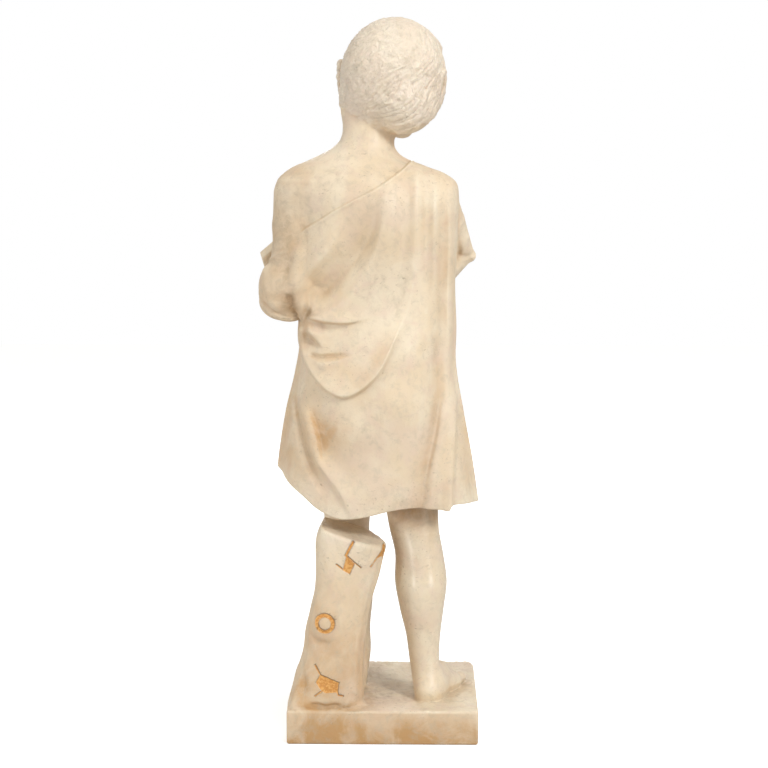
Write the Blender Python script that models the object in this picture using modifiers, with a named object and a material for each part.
"""Marble statue of a child standing in a short cloak beside a tree stump, carved in one with its plinth.

Metres, +Z up. The origin is the centre of the plinth's underside. The figure faces -Y and its left
side is +X. Everything is one block of marble, so the script ends with a single object, "statue".
"""

import math
from typing import NamedTuple

import bmesh
import bpy
from mathutils import Euler, Matrix, Vector

# ---------------------------------------------------------------- driving dimensions

STATUE_HEIGHT = 1.150
PLINTH_WIDTH = 0.305
PLINTH_DEPTH = 0.290
PLINTH_HEIGHT = 0.055
PLINTH_EDGE = 0.003
PLINTH_FRONT_CORNER = 0.014

HEAD_WIDTH = 0.172
HEAD_LENGTH = 0.196
HEAD_RISE = 0.184
HEAD_BOW = math.radians(16)
HEAD_TURN = math.radians(22)
HEAD_TILT = math.radians(-8)

CLOAK_THICKNESS = 0.007
CLOAK_EDGE_RUN = 0.003
SKIN_EASE = 0.035
HEM_WALL = 0.013
HEM_RECESS = 0.008

STUMP_RIDGES = 5
STUMP_RIDGE_DEPTH = 0.0022
STUMP_RIDGE_TWIST = 9.0
KNOT_ANGLE = math.radians(74)
KNOT_HEIGHT = 0.205
KNOT_RISE = 0.006
KNOT_SPREAD = 0.030

RING_SIDES = 96
BODY_ROWS = 110
LEG_ROWS = 30
STUMP_ROWS = 40
BALL_SEGMENTS = 32
BALL_RINGS = 20
CONE_SIDES = 28

SCULPT_VOXEL = 0.0042
SCULPT_SMOOTHING = 3
SCULPT_TRIANGLES = 9300
CREASE_ANGLE = math.radians(50)


class Section(NamedTuple):
    """A level oval cut through an upright form: where it is, and how far it reaches each way."""
    height: float
    x: float
    y: float
    half_width: float
    back: float
    front: float


class Fold(NamedTuple):
    """A ridge (positive rise) or a valley (negative rise) along a path of (x, z) points."""
    rise: float
    width: float
    path: tuple


# The cloaked body from hem to neck.
BODY_SECTIONS = (
    Section(0.350, 0.009, 0.025, 0.164, 0.104, 0.108),
    Section(0.440, 0.014, 0.025, 0.159, 0.102, 0.102),
    Section(0.520, 0.015, 0.025, 0.144, 0.102, 0.094),
    Section(0.600, 0.011, 0.025, 0.130, 0.097, 0.090),
    Section(0.660, 0.008, 0.025, 0.128, 0.086, 0.088),
    Section(0.720, 0.012, 0.025, 0.132, 0.078, 0.084),
    Section(0.780, 0.011, 0.025, 0.131, 0.078, 0.080),
    Section(0.830, 0.009, 0.025, 0.130, 0.080, 0.077),
    Section(0.865, 0.014, 0.025, 0.137, 0.078, 0.070),
    Section(0.889, 0.023, 0.022, 0.141, 0.068, 0.060),
    Section(0.902, 0.027, 0.020, 0.128, 0.061, 0.052),
    Section(0.915, 0.035, 0.018, 0.105, 0.053, 0.046),
    Section(0.928, 0.038, 0.015, 0.075, 0.046, 0.041),
    Section(0.942, 0.032, 0.011, 0.053, 0.042, 0.040),
    Section(0.957, 0.024, 0.006, 0.045, 0.040, 0.040),
    Section(0.978, 0.016, -0.001, 0.044, 0.040, 0.042),
    Section(1.005, 0.006, -0.012, 0.046, 0.042, 0.046),
)

RIGHT_LEG_SECTIONS = (
    Section(0.060, -0.071, 0.064, 0.026, 0.031, 0.028),
    Section(0.090, -0.069, 0.062, 0.027, 0.027, 0.027),
    Section(0.125, -0.066, 0.060, 0.027, 0.026, 0.026),
    Section(0.160, -0.065, 0.056, 0.030, 0.030, 0.028),
    Section(0.200, -0.062, 0.050, 0.038, 0.042, 0.032),
    Section(0.245, -0.061, 0.046, 0.042, 0.048, 0.036),
    Section(0.290, -0.058, 0.042, 0.039, 0.043, 0.039),
    Section(0.330, -0.050, 0.038, 0.040, 0.039, 0.043),
    Section(0.370, -0.046, 0.034, 0.043, 0.043, 0.046),
    Section(0.430, -0.044, 0.030, 0.048, 0.050, 0.050),
)

LEFT_LEG_SECTIONS = (
    Section(0.058, 0.045, -0.012, 0.024, 0.032, 0.028),
    Section(0.088, 0.046, -0.014, 0.025, 0.026, 0.026),
    Section(0.115, 0.047, -0.016, 0.025, 0.024, 0.025),
    Section(0.155, 0.050, -0.018, 0.027, 0.028, 0.026),
    Section(0.200, 0.055, -0.018, 0.036, 0.040, 0.030),
    Section(0.245, 0.058, -0.016, 0.039, 0.046, 0.034),
    Section(0.290, 0.060, -0.014, 0.037, 0.041, 0.038),
    Section(0.330, 0.061, -0.012, 0.037, 0.037, 0.042),
    Section(0.370, 0.060, -0.006, 0.041, 0.042, 0.046),
    Section(0.430, 0.056, 0.006, 0.048, 0.050, 0.050),
)

STUMP_SECTIONS = (
    Section(0.046, 0.088, 0.086, 0.064, 0.057, 0.060),
    Section(0.070, 0.087, 0.086, 0.062, 0.056, 0.057),
    Section(0.100, 0.083, 0.086, 0.058, 0.055, 0.054),
    Section(0.133, 0.077, 0.085, 0.054, 0.053, 0.052),
    Section(0.170, 0.073, 0.084, 0.051, 0.051, 0.051),
    Section(0.200, 0.070, 0.083, 0.051, 0.050, 0.050),
    Section(0.240, 0.064, 0.082, 0.051, 0.048, 0.049),
    Section(0.275, 0.060, 0.081, 0.053, 0.047, 0.048),
    Section(0.310, 0.053, 0.080, 0.055, 0.047, 0.047),
    Section(0.360, 0.051, 0.079, 0.055, 0.047, 0.047),
)
STUMP_TOP_LEFT = 0.354
STUMP_TOP_RIGHT = 0.313
STUMP_ROOTS = (("left_root", (0.118, 0.100, 0.052), (0.036, 0.040, 0.030)),
               ("right_root", (0.050, 0.106, 0.050), (0.030, 0.026, 0.022)))

# Where the cloak's upper edge crosses the back, from the neck to the left arm, and its hem.
CLOAK_EDGE = ((-0.045, 0.925), (-0.019, 0.903), (0.017, 0.881), (0.064, 0.853), (0.108, 0.828),
              (0.129, 0.814), (0.139, 0.800), (0.144, 0.780), (0.150, 0.740), (0.155, 0.715))
HEM_EDGE = ((-0.160, 0.380), (-0.113, 0.376), (-0.035, 0.374), (0.040, 0.361), (0.065, 0.358),
            (0.085, 0.363), (0.127, 0.392), (0.156, 0.424), (0.172, 0.442))
FRONT_HEM_HEIGHT = 0.382

# The cloak's drapery on the back: folds that fan out from the right shoulder, the swag that hangs
# across the hips, and the long folds of the skirt.
BACK_FOLDS = (
    Fold(0.008, 0.012, ((-0.002, 0.868), (0.004, 0.832), (0.012, 0.794), (0.042, 0.720), (0.100, 0.675))),
    Fold(-0.013, 0.012, ((0.012, 0.852), (0.017, 0.800), (0.051, 0.755), (0.086, 0.725), (0.117, 0.680))),
    Fold(0.007, 0.012, ((0.054, 0.838), (0.063, 0.811), (0.088, 0.768), (0.123, 0.742), (0.154, 0.719))),
    Fold(-0.004, 0.010, ((0.036, 0.850), (0.052, 0.812), (0.068, 0.778))),
    Fold(-0.007, 0.009, ((0.156, 0.712), (0.140, 0.694), (0.122, 0.676))),
    Fold(0.006, 0.011, ((-0.055, 0.872), (-0.053, 0.811), (-0.046, 0.745), (-0.033, 0.680))),
    Fold(-0.007, 0.011, ((-0.038, 0.863), (-0.041, 0.811), (-0.034, 0.745), (-0.015, 0.665))),
    Fold(-0.005, 0.013, ((-0.069, 0.863), (-0.069, 0.765), (-0.075, 0.688))),
    Fold(0.006, 0.012, ((-0.106, 0.880), (-0.106, 0.792), (-0.101, 0.700), (-0.103, 0.640))),
    Fold(0.007, 0.009, ((0.124, 0.672), (0.122, 0.636), (0.112, 0.606), (0.090, 0.580), (0.062, 0.568),
                        (0.040, 0.574), (0.012, 0.602), (-0.012, 0.646), (-0.038, 0.692))),
    Fold(-0.009, 0.009, ((0.140, 0.645), (0.134, 0.612), (0.116, 0.580), (0.086, 0.554), (0.054, 0.546),
                         (0.024, 0.560), (-0.008, 0.594), (-0.026, 0.630))),
    Fold(-0.006, 0.009, ((0.122, 0.652), (0.096, 0.622), (0.074, 0.612), (0.044, 0.618))),
    Fold(-0.004, 0.008, ((0.098, 0.672), (0.059, 0.667), (0.021, 0.676))),
    Fold(0.010, 0.019, ((-0.052, 0.660), (-0.050, 0.640), (-0.058, 0.610))),
    Fold(-0.009, 0.011, ((-0.078, 0.650), (-0.082, 0.590), (-0.090, 0.545), (-0.078, 0.470),
                         (-0.060, 0.390))),
    Fold(0.007, 0.016, ((-0.107, 0.620), (-0.109, 0.560), (-0.108, 0.477), (-0.106, 0.390))),
    Fold(0.009, 0.010, ((0.132, 0.540), (0.119, 0.507), (0.106, 0.460), (0.068, 0.410), (0.046, 0.372))),
    Fold(-0.010, 0.010, ((0.143, 0.560), (0.131, 0.500), (0.115, 0.450), (0.085, 0.394), (0.072, 0.378))),
    Fold(-0.006, 0.009, ((0.122, 0.536), (0.104, 0.518), (0.096, 0.480), (0.080, 0.433))),
    Fold(0.011, 0.048, ((0.057, 0.518),)),
    Fold(0.011, 0.048, ((-0.028, 0.548),)),
    Fold(-0.005, 0.014, ((0.014, 0.530), (0.006, 0.480), (0.002, 0.400))),
    Fold(-0.004, 0.012, ((-0.030, 0.470), (-0.033, 0.375))),
)

# The front is plainer: the cloak falls from the right arm and is gathered over the left forearm.
FRONT_FOLDS = (
    Fold(-0.009, 0.013, ((-0.070, 0.860), (-0.050, 0.770), (0.010, 0.700), (0.090, 0.665))),
    Fold(0.008, 0.014, ((-0.045, 0.850), (-0.020, 0.780), (0.040, 0.720), (0.110, 0.690))),
    Fold(-0.008, 0.013, ((-0.090, 0.780), (-0.070, 0.690), (-0.010, 0.620), (0.090, 0.590))),
    Fold(0.008, 0.014, ((-0.095, 0.720), (-0.060, 0.630), (0.010, 0.570), (0.100, 0.560))),
    Fold(-0.009, 0.014, ((-0.060, 0.600), (-0.062, 0.500), (-0.070, 0.370))),
    Fold(0.008, 0.014, ((-0.095, 0.590), (-0.100, 0.480), (-0.105, 0.370))),
    Fold(-0.009, 0.014, ((0.030, 0.560), (0.025, 0.480), (0.020, 0.370))),
    Fold(0.008, 0.014, ((0.060, 0.550), (0.065, 0.470), (0.070, 0.370))),
    Fold(-0.009, 0.014, ((0.110, 0.650), (0.105, 0.540), (0.110, 0.400))),
)

# Limbs are chains of balls joined by cones: centre and radius of each ball.
LEFT_ARM = (((0.133, 0.020, 0.866), 0.044), ((0.142, 0.026, 0.820), 0.036),
            ((0.146, 0.030, 0.780), 0.032), ((0.156, 0.034, 0.720), 0.034),
            ((0.140, -0.035, 0.722), 0.038), ((0.112, -0.085, 0.742), 0.030),
            ((0.088, -0.112, 0.756), 0.021))
RIGHT_ARM = (((-0.077, 0.018, 0.864), 0.045), ((-0.089, -0.015, 0.835), 0.041),
             ((-0.112, -0.066, 0.778), 0.036), ((-0.085, -0.105, 0.778), 0.034),
             ((-0.050, -0.128, 0.790), 0.024))
RIGHT_ELBOW_POINT = ((-0.124, -0.058, 0.766), (0.024, 0.026, 0.025))

# Cloth gathered at the left elbow, and between the forearms and the chest: each mass's centre and radii.
ELBOW_CLOTHS = (((0.160, 0.030, 0.716), (0.043, 0.050, 0.044)),
                ((0.166, 0.038, 0.692), (0.035, 0.042, 0.027)))
CHEST_CLOTHS = (((0.020, -0.066, 0.752), (0.102, 0.056, 0.052)),
                ((0.086, -0.050, 0.722), (0.074, 0.054, 0.036)),
                ((-0.058, -0.068, 0.766), (0.056, 0.058, 0.044)))

HELD_STONE_OUTLINE = ((-0.075, -0.040), (0.045, -0.052), (0.080, -0.012), (0.062, 0.048), (-0.060, 0.055))
HELD_STONE_THICKNESS = 0.016
HELD_STONE_PLACE = Vector((0.132, -0.102, 0.766))
HELD_STONE_TURN = Euler((math.radians(48), math.radians(-14), math.radians(34)))

# A foot: each mass as a share of its length from the heel, then its half length, half width and half
# height. The toes fan across its end.
FOOT_MASSES = (("heel", 0.16, 0.030, 0.024, 0.026), ("instep", 0.42, 0.052, 0.026, 0.027),
               ("ball", 0.70, 0.036, 0.032, 0.017))
TOE_RADII = (0.017, 0.0075, 0.010)
TOE_PITCH = 0.0118
TOE_REACH = 0.93
RIGHT_FOOT = ((-0.068, 0.098, 0), (-0.122, -0.052, 0))
LEFT_FOOT = ((0.042, 0.030, 0), (0.072, -0.124, 0))
KNEE_RADII = (0.030, 0.022, 0.030)
RIGHT_KNEE = (-0.050, 0.006, 0.335)
LEFT_KNEE = (0.060, -0.042, 0.335)

# A hand: the palm's radii, then how far each part reaches along the hand.
PALM_RADII = (0.034, 0.025, 0.014)
PALM_REACH = 0.026
FINGER_START = 0.042
FINGER_PITCH = 0.0115
FINGER_BONES = (0.022, 0.014)
FINGER_RADII = (0.0075, 0.0070, 0.0060)
THUMB_START = (0.016, 0.020)
THUMB_REACH = (0.030, 0.010)
THUMB_RADII = (0.0085, 0.0070)
LEFT_HAND = ((0.088, -0.112, 0.756), (-0.5, -0.62, 0.45), (-0.2, -0.5, 0.85))
RIGHT_HAND = ((-0.050, -0.128, 0.790), (0.93, -0.30, 0.18), (0.0, -0.6, -0.8))

# The head's masses in its own frame, -Y the face and +Z the crown: place, radii and tip about X.
HEAD_PLACE = (-0.013, -0.022)
HEAD_MASSES = (("nape_hair", (0.000, 0.030, -0.042), (0.070, 0.050, 0.046), 0.0),
               ("right_hair", (-0.034, 0.006, -0.036), (0.058, 0.056, 0.043), 0.0),
               ("face", (0, -0.034, -0.034), (0.064, 0.062, 0.060), 0.0),
               ("chin", (0, -0.070, -0.076), (0.024, 0.020, 0.018), 0.0),
               ("nose", (0, -0.098, -0.030), (0.010, 0.013, 0.018), -0.25),
               ("lips", (0, -0.088, -0.058), (0.018, 0.010, 0.008), 0.0),
               ("fringe", (0, -0.050, 0.022), (0.072, 0.048, 0.042), 0.0),
               ("left_ear", (0.085, -0.002, -0.018), (0.007, 0.013, 0.021), 0.0),
               ("right_ear", (-0.085, -0.002, -0.018), (0.007, 0.013, 0.021), 0.0))


# ---------------------------------------------------------------- small helpers

def smooth_step(low, high, value):
    """0 below low, 1 above high, with a smooth rise between."""
    share = min(max((value - low) / (high - low), 0.0), 1.0)
    return share * share * (3.0 - 2.0 * share)


def section_at(sections, height):
    """The section at a height, on a smooth curve through the listed ones."""
    last = len(sections) - 2
    index = 0
    while index < last and sections[index + 1].height < height:
        index += 1
    low, high = sections[index], sections[index + 1]
    before = sections[max(index - 1, 0)]
    after = sections[min(index + 2, len(sections) - 1)]
    span = high.height - low.height
    share = min(max((height - low.height) / span, 0.0), 1.0)
    weights = (2 * share**3 - 3 * share**2 + 1, share**3 - 2 * share**2 + share,
               3 * share**2 - 2 * share**3, share**3 - share**2)
    values = []
    for previous, start, end, following in zip(before, low, high, after):
        slope_start = (end - previous) / max(high.height - before.height, span) * span
        slope_end = (following - start) / max(after.height - low.height, span) * span
        values.append(weights[0] * start + weights[1] * slope_start
                      + weights[2] * end + weights[3] * slope_end)
    return Section(height, *values[1:])


def height_on(edge, x):
    """The height of an edge line, listed as (x, z) points, at x."""
    for (x_start, z_start), (x_end, z_end) in zip(edge, edge[1:]):
        if x <= x_end:
            share = max((x - x_start) / (x_end - x_start), 0.0)
            return z_start + share * (z_end - z_start)
    return edge[-1][1]


def fold_rise(fold, x, z):
    """How far a fold lifts the cloth at (x, z). A path dies away at both ends; one point is a swelling."""
    point = Vector((x, z))
    steps = len(fold.path) - 1
    if steps == 0:
        distance = (point - Vector(fold.path[0])).length
        return fold.rise * math.exp(-(distance / fold.width) ** 2)
    nearest = math.inf
    place = 0.0
    for step in range(steps):
        start = Vector(fold.path[step])
        along = Vector(fold.path[step + 1]) - start
        share = min(max((point - start).dot(along) / along.length_squared, 0.0), 1.0)
        distance = (point - start - share * along).length
        if distance < nearest:
            nearest = distance
            place = (step + share) / steps
    end_fade = min(1.0, 0.35 + 3.0 * place * (1.0 - place))
    return fold.rise * end_fade * math.exp(-(nearest / fold.width) ** 2)


def drapery(x, z, facing_back):
    """Relief on the body's plain skin, outward: folds where the cloak lies, a step down to bare skin."""
    folds = BACK_FOLDS if facing_back > 0 else FRONT_FOLDS
    relief = sum(fold_rise(fold, x, z) for fold in folds)
    relief *= smooth_step(0.0, 0.3, abs(facing_back))
    above_edge = z - height_on(CLOAK_EDGE, x)
    bare = 0.0 if x < CLOAK_EDGE[0][0] else smooth_step(-CLOAK_EDGE_RUN, CLOAK_EDGE_RUN, above_edge)
    sunk = CLOAK_THICKNESS * math.exp(-max(above_edge, 0.0) / SKIN_EASE)
    return (1.0 - bare) * relief - bare * sunk


def hem_height(angle):
    """The hem's height around the body: it dips at the back and lifts at the left side."""
    section = BODY_SECTIONS[0]
    back_height = height_on(HEM_EDGE, section.x + section.half_width * math.cos(angle))
    front = smooth_step(0.0, 0.5, -math.sin(angle))
    return back_height + front * (FRONT_HEM_HEIGHT - back_height)


def new_object(name, mesh_data):
    """Turn a bmesh into an object in the statue's collection."""
    mesh = bpy.data.meshes.new(name)
    bmesh.ops.recalc_face_normals(mesh_data, faces=mesh_data.faces)
    mesh_data.to_mesh(mesh)
    mesh_data.free()
    piece = bpy.data.objects.new(name, mesh)
    statue_collection.objects.link(piece)
    return piece


def loft(name, rings):
    """A closed skin over rings that all have the same number of points, with a face at each end."""
    mesh_data = bmesh.new()
    loops = [[mesh_data.verts.new(point) for point in ring] for ring in rings]
    for lower, upper in zip(loops, loops[1:]):
        count = len(lower)
        for index in range(count):
            following = (index + 1) % count
            mesh_data.faces.new((lower[index], lower[following], upper[following], upper[index]))
    mesh_data.faces.new(list(reversed(loops[0])))
    mesh_data.faces.new(loops[-1])
    return new_object(name, mesh_data)


def oval_point(section, angle, outward=0.0):
    """A point on a section's oval, angle 0 at +X, moved outward along the oval's normal."""
    depth = section.back if math.sin(angle) >= 0 else section.front
    normal = Vector((math.cos(angle) / section.half_width, math.sin(angle) / depth)).normalized()
    x = section.x + section.half_width * math.cos(angle) + outward * normal.x
    y = section.y + depth * math.sin(angle) + outward * normal.y
    return Vector((x, y, section.height))


def ring_angles():
    """The angles of a ring's points."""
    return [2.0 * math.pi * index / RING_SIDES for index in range(RING_SIDES)]


def ball(name, centre, radii, turn=Euler()):
    """A sphere stretched to three radii and turned."""
    mesh_data = bmesh.new()
    bmesh.ops.create_uvsphere(mesh_data, u_segments=BALL_SEGMENTS, v_segments=BALL_RINGS, radius=1.0)
    stretch = Matrix.Diagonal((*radii, 1.0))
    place = Matrix.Translation(centre) @ turn.to_matrix().to_4x4() @ stretch
    bmesh.ops.transform(mesh_data, matrix=place, verts=mesh_data.verts)
    return new_object(name, mesh_data)


def cone_between(name, start, start_radius, end, end_radius):
    """A cone's frustum from one ball's centre to the next."""
    axis = Vector(end) - Vector(start)
    mesh_data = bmesh.new()
    bmesh.ops.create_cone(mesh_data, cap_ends=True, segments=CONE_SIDES, radius1=start_radius,
                          radius2=end_radius, depth=axis.length)
    turn = axis.to_track_quat("Z", "Y").to_matrix().to_4x4()
    middle = (Vector(start) + Vector(end)) / 2
    bmesh.ops.transform(mesh_data, matrix=Matrix.Translation(middle) @ turn, verts=mesh_data.verts)
    return new_object(name, mesh_data)


def limb(name, balls):
    """A limb as a chain of balls joined by cones."""
    pieces = []
    for index, (centre, radius) in enumerate(balls):
        pieces.append(ball(f"{name}_joint_{index}", centre, (radius,) * 3))
    for index, ((start, start_radius), (end, end_radius)) in enumerate(zip(balls, balls[1:])):
        pieces.append(cone_between(f"{name}_length_{index}", start, start_radius, end, end_radius))
    return pieces


# ---------------------------------------------------------------- the figure

def cloaked_body():
    """Hem to neck, with the drapery, and the hem hollowed a little underneath around the legs."""
    top = BODY_SECTIONS[-1].height
    rings = []
    hem_heights = [hem_height(angle) for angle in ring_angles()]
    for lift, inset in ((HEM_RECESS, 2 * HEM_WALL), (0.0, HEM_WALL)):
        ring = []
        for angle, hem in zip(ring_angles(), hem_heights):
            section = section_at(BODY_SECTIONS, hem + lift)
            ring.append(oval_point(section, angle, -inset))
        rings.append(ring)
    for row in range(BODY_ROWS + 1):
        ring = []
        for angle, hem in zip(ring_angles(), hem_heights):
            section = section_at(BODY_SECTIONS, hem + (top - hem) * row / BODY_ROWS)
            plain = oval_point(section, angle)
            relief = drapery(plain.x, plain.z, math.sin(angle))
            ring.append(oval_point(section, angle, relief))
        rings.append(ring)
    return [loft("cloaked_body", rings)]


def leg(name, sections):
    """A plain loft through sections one above another."""
    bottom, top = sections[0].height, sections[-1].height
    rings = []
    for row in range(LEG_ROWS + 1):
        section = section_at(sections, bottom + (top - bottom) * row / LEG_ROWS)
        rings.append([oval_point(section, angle) for angle in ring_angles()])
    return loft(name, rings)


def foot(name, heel, toes, sole):
    """A bare foot from heel to toes, on a level sole, with five toes fanned across its end."""
    heel, toes = Vector(heel), Vector(toes)
    length = (toes - heel).length
    heading = (toes - heel).normalized()
    across = Vector((-heading.y, heading.x, 0))
    turn = Euler((0, 0, math.atan2(heading.y, heading.x)))
    pieces = []
    for part, share, half_length, half_width, half_height in FOOT_MASSES:
        centre = heel + heading * (share * length)
        centre.z = sole + half_height * 0.85
        pieces.append(ball(f"{name}_{part}", centre, (half_length, half_width, half_height), turn))
    for toe in range(5):
        reach = length * (TOE_REACH - 0.012 * (toe - 1) ** 2) - 0.002 * toe
        centre = heel + heading * reach + across * ((toe - 2) * TOE_PITCH)
        centre.z = sole + 0.9 * TOE_RADII[2]
        pieces.append(ball(f"{name}_toe_{toe}", centre, TOE_RADII, turn))
    return pieces


def legs_and_feet():
    """Both legs, the right one bearing the weight, on bare feet."""
    sole = PLINTH_HEIGHT - 0.002
    return [leg("right_leg", RIGHT_LEG_SECTIONS), leg("left_leg", LEFT_LEG_SECTIONS),
            ball("right_knee", RIGHT_KNEE, KNEE_RADII), ball("left_knee", LEFT_KNEE, KNEE_RADII),
            *foot("right_foot", *RIGHT_FOOT, sole), *foot("left_foot", *LEFT_FOOT, sole)]


def hand(name, wrist, heading, palm_down):
    """A hand as a palm with four fingers and a thumb laid along it."""
    heading = Vector(heading).normalized()
    down = Vector(palm_down)
    down = (down - down.dot(heading) * heading).normalized()
    across = heading.cross(down)
    turn = Matrix((heading, across, down)).transposed().to_euler()
    wrist = Vector(wrist)
    pieces = [ball(f"{name}_palm", wrist + heading * PALM_REACH, PALM_RADII, turn)]
    for finger in range(4):
        start = wrist + heading * FINGER_START + across * (finger - 1.5) * FINGER_PITCH
        middle = start + heading * FINGER_BONES[0] + down * 0.003
        tip = middle + heading * FINGER_BONES[1] + down * 0.010
        pieces += limb(f"{name}_finger_{finger}", tuple(zip((start, middle, tip), FINGER_RADII)))
    thumb_start = wrist + heading * THUMB_START[0] - across * THUMB_START[1]
    thumb_tip = thumb_start + heading * THUMB_REACH[0] - across * THUMB_REACH[1] + down * 0.006
    pieces += limb(f"{name}_thumb", tuple(zip((thumb_start, thumb_tip), THUMB_RADII)))
    return pieces


def arms():
    """The bare left arm, the covered right arm, both hands, and the cloth gathered about them."""
    return [*limb("left_arm", LEFT_ARM), *limb("right_arm", RIGHT_ARM),
            *[ball(f"elbow_cloth_{index}", *cloth) for index, cloth in enumerate(ELBOW_CLOTHS)],
            *[ball(f"chest_cloth_{index}", *cloth) for index, cloth in enumerate(CHEST_CLOTHS)],
            ball("right_elbow_point", *RIGHT_ELBOW_POINT),
            *hand("left_hand", *LEFT_HAND), *hand("right_hand", *RIGHT_HAND)]


def held_stone():
    """The flat stone held against the left forearm."""
    mesh_data = bmesh.new()
    half = HELD_STONE_THICKNESS / 2
    base = mesh_data.faces.new([mesh_data.verts.new((x, y, -half)) for x, y in HELD_STONE_OUTLINE])
    raised = bmesh.ops.extrude_face_region(mesh_data, geom=[base])
    top_points = [item for item in raised["geom"] if isinstance(item, bmesh.types.BMVert)]
    bmesh.ops.translate(mesh_data, verts=top_points, vec=(0, 0, HELD_STONE_THICKNESS))
    place = Matrix.Translation(HELD_STONE_PLACE) @ HELD_STONE_TURN.to_matrix().to_4x4()
    bmesh.ops.transform(mesh_data, matrix=place, verts=mesh_data.verts)
    return [new_object("held_stone", mesh_data)]


def head():
    """Skull, hair and a plain face, bowed and turned to the figure's right."""
    turn = Matrix.Rotation(-HEAD_TURN, 3, "Z") @ Matrix.Rotation(HEAD_TILT, 3, "Y")
    turn = turn @ Matrix.Rotation(HEAD_BOW, 3, "X")
    half_length, half_rise = HEAD_LENGTH / 2, HEAD_RISE / 2
    crown = math.hypot(half_length * math.sin(HEAD_BOW), half_rise * math.cos(HEAD_BOW))
    centre = Vector((*HEAD_PLACE, STATUE_HEIGHT - crown))
    pieces = [ball("skull", centre, (HEAD_WIDTH / 2, half_length, half_rise), turn.to_euler())]
    for name, place, radii, tip in HEAD_MASSES:
        tipped = turn @ Matrix.Rotation(tip, 3, "X")
        pieces.append(ball(name, centre + turn @ Vector(place), radii, tipped.to_euler()))
    return pieces


def tree_stump():
    """The stump: shallow ridges run up it, a knot stands out of it, and its top is cut on a slant."""
    bottom, top = STUMP_SECTIONS[0].height, STUMP_SECTIONS[-1].height
    rings = []
    for row in range(STUMP_ROWS + 1):
        section = section_at(STUMP_SECTIONS, bottom + (top - bottom) * row / STUMP_ROWS)
        ring = []
        for angle in ring_angles():
            ridge = STUMP_RIDGE_DEPTH * math.cos(STUMP_RIDGES * angle + STUMP_RIDGE_TWIST * section.height)
            knot_reach = math.hypot((angle - KNOT_ANGLE) * section.half_width, section.height - KNOT_HEIGHT)
            knot = KNOT_RISE * math.exp(-(knot_reach / KNOT_SPREAD) ** 2)
            ring.append(oval_point(section, angle, ridge + knot))
        rings.append(ring)
    stump = loft("tree_stump", rings)
    section = section_at(STUMP_SECTIONS, STUMP_TOP_LEFT)
    run = 2 * section.half_width
    slant = Vector((STUMP_TOP_LEFT - STUMP_TOP_RIGHT, 0.0, -run)).normalized()
    mesh_data = bmesh.new()
    mesh_data.from_mesh(stump.data)
    cut_point = (section.x + section.half_width, 0, STUMP_TOP_LEFT)
    geometry = [*mesh_data.verts, *mesh_data.edges, *mesh_data.faces]
    cut = bmesh.ops.bisect_plane(mesh_data, geom=geometry, plane_co=cut_point, plane_no=-slant,
                                 clear_outer=True)
    rim = [item for item in cut["geom_cut"] if isinstance(item, bmesh.types.BMEdge)]
    bmesh.ops.edgeloop_fill(mesh_data, edges=rim)
    mesh_data.to_mesh(stump.data)
    mesh_data.free()
    return [stump, *[ball(*root) for root in STUMP_ROOTS]]


# ---------------------------------------------------------------- joining and finishing

def join(name, pieces):
    """Join separate objects into one mesh object."""
    bpy.context.view_layer.update()
    for piece in pieces:
        piece.select_set(True)
    bpy.context.view_layer.objects.active = pieces[0]
    bpy.ops.object.join()
    joined = bpy.context.view_layer.objects.active
    joined.name = name
    return joined


def apply_modifiers(piece):
    """Bake an object's modifiers into its mesh."""
    for other in bpy.context.view_layer.objects:
        other.select_set(other is piece)
    bpy.context.view_layer.objects.active = piece
    bpy.ops.object.convert(target="MESH")


def carve(piece):
    """Fuse the overlapping pieces into one skin, soften the joins, and bring the triangles down."""
    fuse = piece.modifiers.new("fuse", "REMESH")
    fuse.mode = "VOXEL"
    fuse.voxel_size = SCULPT_VOXEL
    soften = piece.modifiers.new("soften", "SMOOTH")
    soften.factor = 0.5
    soften.iterations = SCULPT_SMOOTHING
    apply_modifiers(piece)
    reduce = piece.modifiers.new("reduce", "DECIMATE")
    face_triangles = sum(len(face.vertices) - 2 for face in piece.data.polygons)
    reduce.ratio = SCULPT_TRIANGLES / face_triangles
    apply_modifiers(piece)


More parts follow.
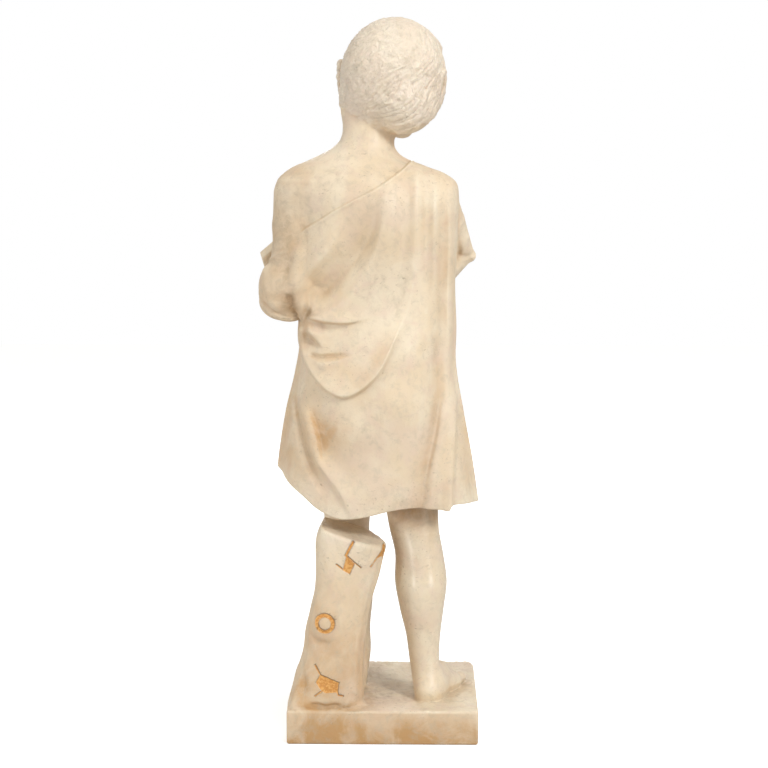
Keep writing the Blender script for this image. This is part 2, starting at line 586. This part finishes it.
def plinth():
    """The rectangular plinth, its edges eased and its two front corners rounded."""
    bpy.ops.mesh.primitive_cube_add(size=1.0, location=(0, 0, PLINTH_HEIGHT / 2))
    block = bpy.context.view_layer.objects.active
    block.name = "plinth"
    block.scale = (PLINTH_WIDTH, PLINTH_DEPTH, PLINTH_HEIGHT)
    bpy.ops.object.transform_apply(location=True, scale=True)
    mesh_data = bmesh.new()
    mesh_data.from_mesh(block.data)
    front_corners = [edge for edge in mesh_data.edges
                     if all(vert.co.y < 0 for vert in edge.verts)
                     and abs(edge.verts[0].co.x - edge.verts[1].co.x) < PLINTH_EDGE
                     and abs(edge.verts[0].co.z - edge.verts[1].co.z) > PLINTH_EDGE]
    bmesh.ops.bevel(mesh_data, geom=front_corners, offset=PLINTH_FRONT_CORNER, segments=5,
                    profile=0.5, affect="EDGES")
    mesh_data.to_mesh(block.data)
    mesh_data.free()
    ease = block.modifiers.new("ease", "BEVEL")
    ease.width = PLINTH_EDGE
    ease.segments = 1
    ease.limit_method = "ANGLE"
    ease.angle_limit = CREASE_ANGLE
    apply_modifiers(block)
    return block


def marble():
    """Cream marble, softly polished."""
    material = bpy.data.materials.new("marble")
    material.use_nodes = True
    surface = material.node_tree.nodes["Principled BSDF"]
    surface.inputs["Base Color"].default_value = (0.80, 0.71, 0.56, 1.0)
    surface.inputs["Roughness"].default_value = 0.45
    surface.inputs["Metallic"].default_value = 0.0
    return material


def build_statue():
    """The whole statue as one object."""
    pieces = [*cloaked_body(), *legs_and_feet(), *arms(), *held_stone(), *head(), *tree_stump()]
    statue = join("statue", pieces)
    carve(statue)
    block = plinth()
    union = statue.modifiers.new("with_plinth", "BOOLEAN")
    union.operation = "UNION"
    union.solver = "EXACT"
    union.object = block
    apply_modifiers(statue)
    bpy.data.objects.remove(block)
    statue.data.materials.clear()
    statue.data.materials.append(marble())
    statue.data.shade_smooth()
    statue.data.set_sharp_from_angle(angle=CREASE_ANGLE)
    return statue


for leftover in list(bpy.data.objects):
    bpy.data.objects.remove(leftover)
statue_collection = bpy.data.collections.new("classical_marble_statue")
bpy.context.scene.collection.children.link(statue_collection)
layers = bpy.context.view_layer.layer_collection.children
bpy.context.view_layer.active_layer_collection = layers[statue_collection.name]
build_statue()
